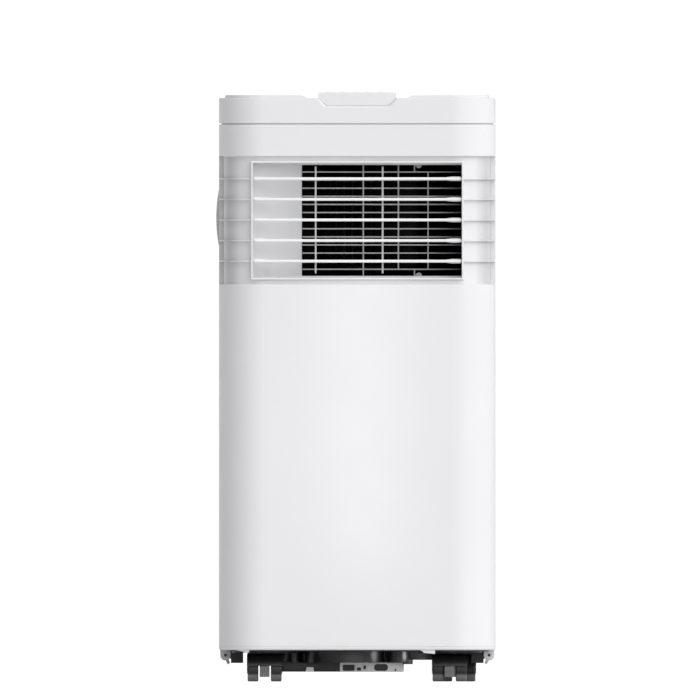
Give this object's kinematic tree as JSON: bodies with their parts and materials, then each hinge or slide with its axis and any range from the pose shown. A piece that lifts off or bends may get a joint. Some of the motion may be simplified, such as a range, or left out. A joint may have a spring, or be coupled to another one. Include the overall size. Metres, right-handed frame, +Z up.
{
  "type": "portable air conditioner",
  "caption": "Tall white portable air conditioner on casters, with linked louvres in a wrap-round front band, a top control panel, side grips and a round exhaust collar behind.",
  "frame": {"origin": "on the floor under the middle of the object's box", "axes": "+Z up the cabinet, -Y out of the louvred front, +X to the right seen from the front"},
  "size_m": [0.3232, 0.3, 0.6823],
  "materials": {
    "cabinet_white": "smooth satin-gloss injection-moulded plastic",
    "louvre_white": "smooth white plastic",
    "handle_grey": "fine-textured grey plastic",
    "guard_grey": "satin light-grey plastic",
    "interior_black": "matt black plastic",
    "base_black": "textured black plastic",
    "caster_black": "black nylon",
    "wheel_black": "satin black nylon",
    "galvanised": "galvanised sheet with spangle",
    "screw_black": "black-oxide steel",
    "panel_white": "smooth white plastic",
    "lens": "smoked clear plastic",
    "button": "smooth white plastic",
    "board": "green solder mask",
    "coil": "bright finned aluminium",
    "copper": "bare copper tube",
    "compressor": "gloss black paint",
    "motor": "dark grey paint",
    "rubber": "matt black rubber",
    "filter": "fine nylon mesh"
  },
  "bodies": {
    "chassis": {"base_pan": "base_black", "compressor": "compressor", "compressor_bracket": "galvanised", "compressor_grommets": "rubber", "condenser_coil": "coil", "condenser_motor": "motor", "condenser_scroll": "interior_black", "control_board": "board", "control_box": "galvanised", "control_panel": "panel_white", "cord_gland": "rubber", "cord_hooks": "cabinet_white", "display_lens": "lens", "drain_sump": "base_black", "evaporator_coil": "coil", "evaporator_motor": "motor", "evaporator_scroll": "interior_black", "exhaust_collar": "cabinet_white", "front_panel": "cabinet_white", "housing_screws": "screw_black", "mid_deck": "interior_black", "outlet_duct": "cabinet_white", "outlet_guard": "guard_grey", "outlet_surround": "cabinet_white", "rear_housing": "cabinet_white", "refrigerant_pipes": "copper", "side_handle_left": "handle_grey", "side_handle_right": "handle_grey", "top_cover": "cabinet_white", "upper_fascia": "cabinet_white"},
    "louvre_1": {"louvre_1": "louvre_white"},
    "louvre_2": {"louvre_2": "louvre_white"},
    "louvre_3": {"louvre_3": "louvre_white"},
    "louvre_4": {"louvre_4": "louvre_white"},
    "louvre_5": {"louvre_5": "louvre_white"},
    "link": {"link_bars": "louvre_white"},
    "evaporator_wheel": {"evaporator_blower": "interior_black"},
    "condenser_wheel": {"condenser_blower": "interior_black"},
    "upper_filter": {"upper_grille": "cabinet_white", "upper_filter_mesh": "filter"},
    "lower_filter": {"lower_grille": "cabinet_white"},
    "upper_plug": {"upper_drain_plug": "rubber"},
    "lower_plug": {"lower_drain_plug": "rubber"},
    "power_button_cap": {"power_button": "button"},
    "mode_button_cap": {"mode_button": "button"},
    "fan_speed_button_cap": {"fan_speed_button": "button"},
    "temperature_down_button_cap": {"temperature_down_button": "button"},
    "temperature_up_button_cap": {"temperature_up_button": "button"},
    "swivel_front_left": {"caster_front_left": "caster_black"},
    "roller_front_left_outer": {"wheel_front_left_outer": "wheel_black"},
    "roller_front_left_inner": {"wheel_front_left_inner": "wheel_black"},
    "swivel_front_right": {"caster_front_right": "caster_black"},
    "roller_front_right_outer": {"wheel_front_right_outer": "wheel_black"},
    "roller_front_right_inner": {"wheel_front_right_inner": "wheel_black"},
    "swivel_rear_left": {"caster_rear_left": "caster_black"},
    "roller_rear_left_outer": {"wheel_rear_left_outer": "wheel_black"},
    "roller_rear_left_inner": {"wheel_rear_left_inner": "wheel_black"},
    "swivel_rear_right": {"caster_rear_right": "caster_black"},
    "roller_rear_right_outer": {"wheel_rear_right_outer": "wheel_black"},
    "roller_rear_right_inner": {"wheel_rear_right_inner": "wheel_black"}
  },
  "joints": [
    {"name": "louvre_1_tilt", "type": "hinge", "parent": "chassis", "child": "louvre_1", "pos_m": [0, -0.139, 0.5818], "axis": [1, 0, 0], "range_deg": [-30, 30]},
    {"name": "louvre_2_tilt", "type": "hinge", "parent": "chassis", "child": "louvre_2", "pos_m": [0, -0.139, 0.55795], "axis": [1, 0, 0], "range_deg": [-30, 30]},
    {"name": "louvre_3_tilt", "type": "hinge", "parent": "chassis", "child": "louvre_3", "pos_m": [0, -0.139, 0.5341], "axis": [1, 0, 0], "range_deg": [-30, 30]},
    {"name": "louvre_4_tilt", "type": "hinge", "parent": "chassis", "child": "louvre_4", "pos_m": [0, -0.139, 0.51025], "axis": [1, 0, 0], "range_deg": [-30, 30]},
    {"name": "louvre_5_tilt", "type": "hinge", "parent": "chassis", "child": "louvre_5", "pos_m": [0, -0.139, 0.4864], "axis": [1, 0, 0], "range_deg": [-30, 30]},
    {"name": "link_swing", "type": "hinge", "parent": "louvre_3", "child": "link", "pos_m": [0, -0.1315, 0.5341], "axis": [1, 0, 0], "range_deg": [-30, 30]},
    {"name": "evaporator_spin", "type": "hinge", "parent": "chassis", "child": "evaporator_wheel", "pos_m": [0.014, -0.02, 0.53], "axis": [0, 0, 1], "continuous": true},
    {"name": "condenser_spin", "type": "hinge", "parent": "chassis", "child": "condenser_wheel", "pos_m": [0.014, -0.02, 0.29], "axis": [0, 0, 1], "continuous": true},
    {"name": "upper_filter_pull", "type": "slide", "parent": "chassis", "child": "upper_filter", "axis": [0, 1, 0], "range_m": [0, 0.04]},
    {"name": "lower_filter_pull", "type": "slide", "parent": "chassis", "child": "lower_filter", "axis": [0, 1, 0], "range_m": [0, 0.04]},
    {"name": "upper_plug_pull", "type": "slide", "parent": "chassis", "child": "upper_plug", "axis": [0, 1, 0], "range_m": [0, 0.03]},
    {"name": "lower_plug_pull", "type": "slide", "parent": "chassis", "child": "lower_plug", "axis": [0, 1, 0], "range_m": [0, 0.03]},
    {"name": "power_button_press", "type": "slide", "parent": "chassis", "child": "power_button_cap", "axis": [0, 0, -1], "range_m": [0, 0.0008], "stiffness_N_per_m": 300},
    {"name": "mode_button_press", "type": "slide", "parent": "chassis", "child": "mode_button_cap", "axis": [0, 0, -1], "range_m": [0, 0.0008], "stiffness_N_per_m": 300},
    {"name": "fan_speed_button_press", "type": "slide", "parent": "chassis", "child": "fan_speed_button_cap", "axis": [0, 0, -1], "range_m": [0, 0.0008], "stiffness_N_per_m": 300},
    {"name": "temperature_down_button_press", "type": "slide", "parent": "chassis", "child": "temperature_down_button_cap", "axis": [0, 0, -1], "range_m": [0, 0.0008], "stiffness_N_per_m": 300},
    {"name": "temperature_up_button_press", "type": "slide", "parent": "chassis", "child": "temperature_up_button_cap", "axis": [0, 0, -1], "range_m": [0, 0.0008], "stiffness_N_per_m": 300},
    {"name": "swivel_front_left_turn", "type": "hinge", "parent": "chassis", "child": "swivel_front_left", "pos_m": [-0.1072, -0.098, 0.04], "axis": [0, 0, 1], "continuous": true},
    {"name": "roller_front_left_outer_spin", "type": "hinge", "parent": "swivel_front_left", "child": "roller_front_left_outer", "pos_m": [-0.1072, -0.106, 0.0145], "axis": [1, 0, 0], "continuous": true},
    {"name": "roller_front_left_inner_spin", "type": "hinge", "parent": "swivel_front_left", "child": "roller_front_left_inner", "pos_m": [-0.1072, -0.106, 0.0145], "axis": [1, 0, 0], "continuous": true},
    {"name": "swivel_front_right_turn", "type": "hinge", "parent": "chassis", "child": "swivel_front_right", "pos_m": [0.1068, -0.098, 0.04], "axis": [0, 0, 1], "continuous": true},
    {"name": "roller_front_right_outer_spin", "type": "hinge", "parent": "swivel_front_right", "child": "roller_front_right_outer", "pos_m": [0.1068, -0.106, 0.0145], "axis": [1, 0, 0], "continuous": true},
    {"name": "roller_front_right_inner_spin", "type": "hinge", "parent": "swivel_front_right", "child": "roller_front_right_inner", "pos_m": [0.1068, -0.106, 0.0145], "axis": [1, 0, 0], "continuous": true},
    {"name": "swivel_rear_left_turn", "type": "hinge", "parent": "chassis", "child": "swivel_rear_left", "pos_m": [-0.1072, 0.086, 0.04], "axis": [0, 0, 1], "continuous": true},
    {"name": "roller_rear_left_outer_spin", "type": "hinge", "parent": "swivel_rear_left", "child": "roller_rear_left_outer", "pos_m": [-0.1072, 0.078, 0.0145], "axis": [1, 0, 0], "continuous": true},
    {"name": "roller_rear_left_inner_spin", "type": "hinge", "parent": "swivel_rear_left", "child": "roller_rear_left_inner", "pos_m": [-0.1072, 0.078, 0.0145], "axis": [1, 0, 0], "continuous": true},
    {"name": "swivel_rear_right_turn", "type": "hinge", "parent": "chassis", "child": "swivel_rear_right", "pos_m": [0.1171, 0.086, 0.04], "axis": [0, 0, 1], "continuous": true},
    {"name": "roller_rear_right_outer_spin", "type": "hinge", "parent": "swivel_rear_right", "child": "roller_rear_right_outer", "pos_m": [0.1171, 0.078, 0.0145], "axis": [1, 0, 0], "continuous": true},
    {"name": "roller_rear_right_inner_spin", "type": "hinge", "parent": "swivel_rear_right", "child": "roller_rear_right_inner", "pos_m": [0.1171, 0.078, 0.0145], "axis": [1, 0, 0], "continuous": true}
  ],
  "couplings": [
    {"joint": "louvre_1_tilt", "follows": "louvre_3_tilt", "ratio": 1},
    {"joint": "louvre_2_tilt", "follows": "louvre_3_tilt", "ratio": 1},
    {"joint": "louvre_4_tilt", "follows": "louvre_3_tilt", "ratio": 1},
    {"joint": "louvre_5_tilt", "follows": "louvre_3_tilt", "ratio": 1},
    {"joint": "link_swing", "follows": "louvre_3_tilt", "ratio": -1}
  ]
}
